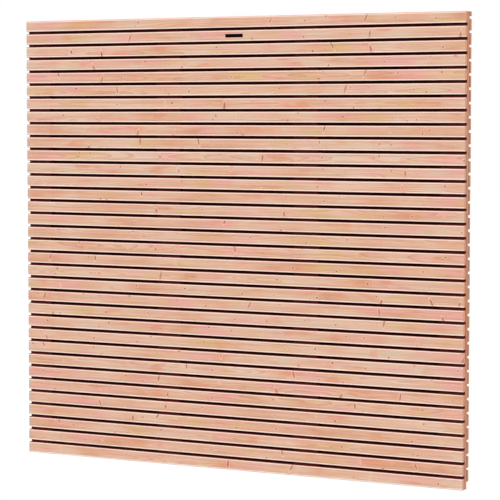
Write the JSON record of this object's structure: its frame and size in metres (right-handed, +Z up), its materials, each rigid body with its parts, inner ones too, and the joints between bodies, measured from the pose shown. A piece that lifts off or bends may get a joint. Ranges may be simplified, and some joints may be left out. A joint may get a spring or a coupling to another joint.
{
  "type": "garden privacy screen",
  "caption": "Double-sided slatted timber privacy screen: level boards in staggered front and back layers, nailed to flat uprights, for fixing between posts.",
  "frame": {"origin": "bottom centre of the screen: mid width, mid thickness, at the underside of the uprights and of the lowest front board", "axes": "+Z up, +X along the boards to the right of someone facing the front, -Y out of the front face that carries the label plate"},
  "size_m": [1.95, 0.06, 1.8],
  "materials": {
    "front_boards": "planed untreated reddish softwood, fine grain, small knots",
    "back_boards": "planed untreated reddish softwood, fine grain, small knots",
    "uprights": "planed untreated reddish softwood, grain upright",
    "brads": "dull stainless wire",
    "label_plate": "satin black, bare",
    "label_pins": "satin black, like the plate"
  },
  "bodies": {
    "root": {"back_brads": "brads", "back_slat_01_02": "back_boards", "back_slat_03_04": "back_boards", "back_slat_05_06": "back_boards", "back_slat_07_08": "back_boards", "back_slat_09_10": "back_boards", "back_slat_11_12": "back_boards", "back_slat_13_14": "back_boards", "back_slat_15_16": "back_boards", "back_slat_17_18": "back_boards", "back_slat_19_20": "back_boards", "back_slat_21_22": "back_boards", "back_slat_23_24": "back_boards", "back_slat_25_26": "back_boards", "back_slat_27_28": "back_boards", "back_slat_29_30": "back_boards", "back_slat_31_32": "back_boards", "back_slat_33": "back_boards", "back_top_strip": "back_boards", "front_brads": "brads", "front_slat_01": "front_boards", "front_slat_02": "front_boards", "front_slat_03": "front_boards", "front_slat_04": "front_boards", "front_slat_05": "front_boards", "front_slat_06": "front_boards", "front_slat_07": "front_boards", "front_slat_08": "front_boards", "front_slat_09": "front_boards", "front_slat_10": "front_boards", "front_slat_11": "front_boards", "front_slat_12": "front_boards", "front_slat_13": "front_boards", "front_slat_14": "front_boards", "front_slat_15": "front_boards", "front_slat_16": "front_boards", "front_slat_17": "front_boards", "front_slat_18": "front_boards", "front_slat_19": "front_boards", "front_slat_20": "front_boards", "front_slat_21": "front_boards", "front_slat_22": "front_boards", "front_slat_23": "front_boards", "front_slat_24": "front_boards", "front_slat_25": "front_boards", "front_slat_26": "front_boards", "front_slat_27": "front_boards", "front_slat_28": "front_boards", "front_slat_29": "front_boards", "front_slat_30": "front_boards", "front_slat_31": "front_boards", "front_slat_32": "front_boards", "front_slat_33": "front_boards", "front_slat_34": "front_boards", "label_pins": "label_pins", "label_plate": "label_plate", "upright_inner_left": "uprights", "upright_inner_right": "uprights", "upright_outer_left": "uprights", "upright_outer_right": "uprights"}
  },
  "joints": []
}
